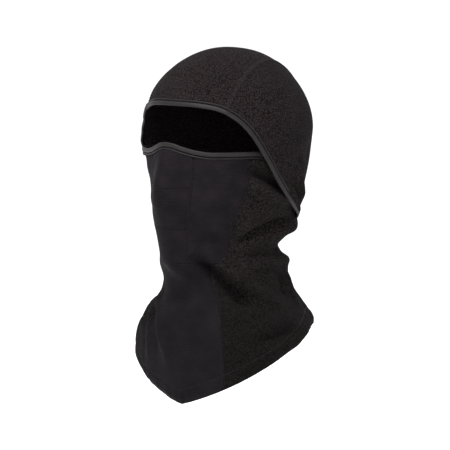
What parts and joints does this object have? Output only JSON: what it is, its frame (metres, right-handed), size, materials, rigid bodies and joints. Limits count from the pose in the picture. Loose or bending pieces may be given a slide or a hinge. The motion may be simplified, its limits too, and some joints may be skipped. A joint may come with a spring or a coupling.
{
  "type": "balaclava",
  "caption": "Hinged winter balaclava: a fleece hood with a bound edge over a shaped face mask and neck gaiter, with an opening for the eyes.",
  "frame": {"origin": "centre of the wearer's head, just above brow level", "axes": "-Y where the face looks, +X the wearer's left, +Z the crown"},
  "size_m": [0.2026, 0.2161, 0.376],
  "materials": {
    "fleece": "pebbled napped fleece",
    "smooth_knit": "smooth knit with fine ribs",
    "mouth_knit": "smooth knit insert",
    "binding": "satin elastic tape",
    "thread": "polyester thread"
  },
  "bodies": {
    "neck_gaiter": {"neck_front_panel": "smooth_knit", "neck_left_panel": "fleece", "neck_right_panel": "fleece", "neck_left_seam": "thread", "neck_right_seam": "thread", "neck_back_seam": "thread", "hem_coverstitch": "thread", "nape_seam": "fleece"},
    "face_mask": {"mask_nose_panel": "smooth_knit", "mouth_panel": "mouth_knit", "chin_panel": "smooth_knit", "mask_left_cheek": "smooth_knit", "mask_right_cheek": "smooth_knit", "mask_left_side": "fleece", "mask_right_side": "fleece", "mask_top_binding": "binding", "mask_binding_stitch": "thread", "mask_center_seams": "thread", "mask_cheek_seams": "thread", "mouth_panel_seams": "thread"},
    "hood": {"hood_center_panel": "fleece", "hood_left_panel": "fleece", "hood_right_panel": "fleece", "hood_edge_binding": "binding", "hood_binding_stitch": "thread", "hood_left_seam": "fleece", "hood_right_seam": "fleece"}
  },
  "joints": [
    {"name": "hood_push_back", "type": "hinge", "parent": "neck_gaiter", "child": "hood", "pos_m": [0, 0.062, -0.117], "axis": [-1, 0, 0], "range_deg": [0, 95]},
    {"name": "mask_pull_down", "type": "hinge", "parent": "neck_gaiter", "child": "face_mask", "pos_m": [0, 0.03, -0.07], "axis": [1, 0, 0], "range_deg": [0, 55], "deforming": ["mask_nose_panel", "mouth_panel", "chin_panel", "mask_left_cheek", "mask_right_cheek", "mask_left_side", "mask_right_side", "mask_binding_stitch", "mask_center_seams", "mask_cheek_seams", "mouth_panel_seams"]}
  ]
}
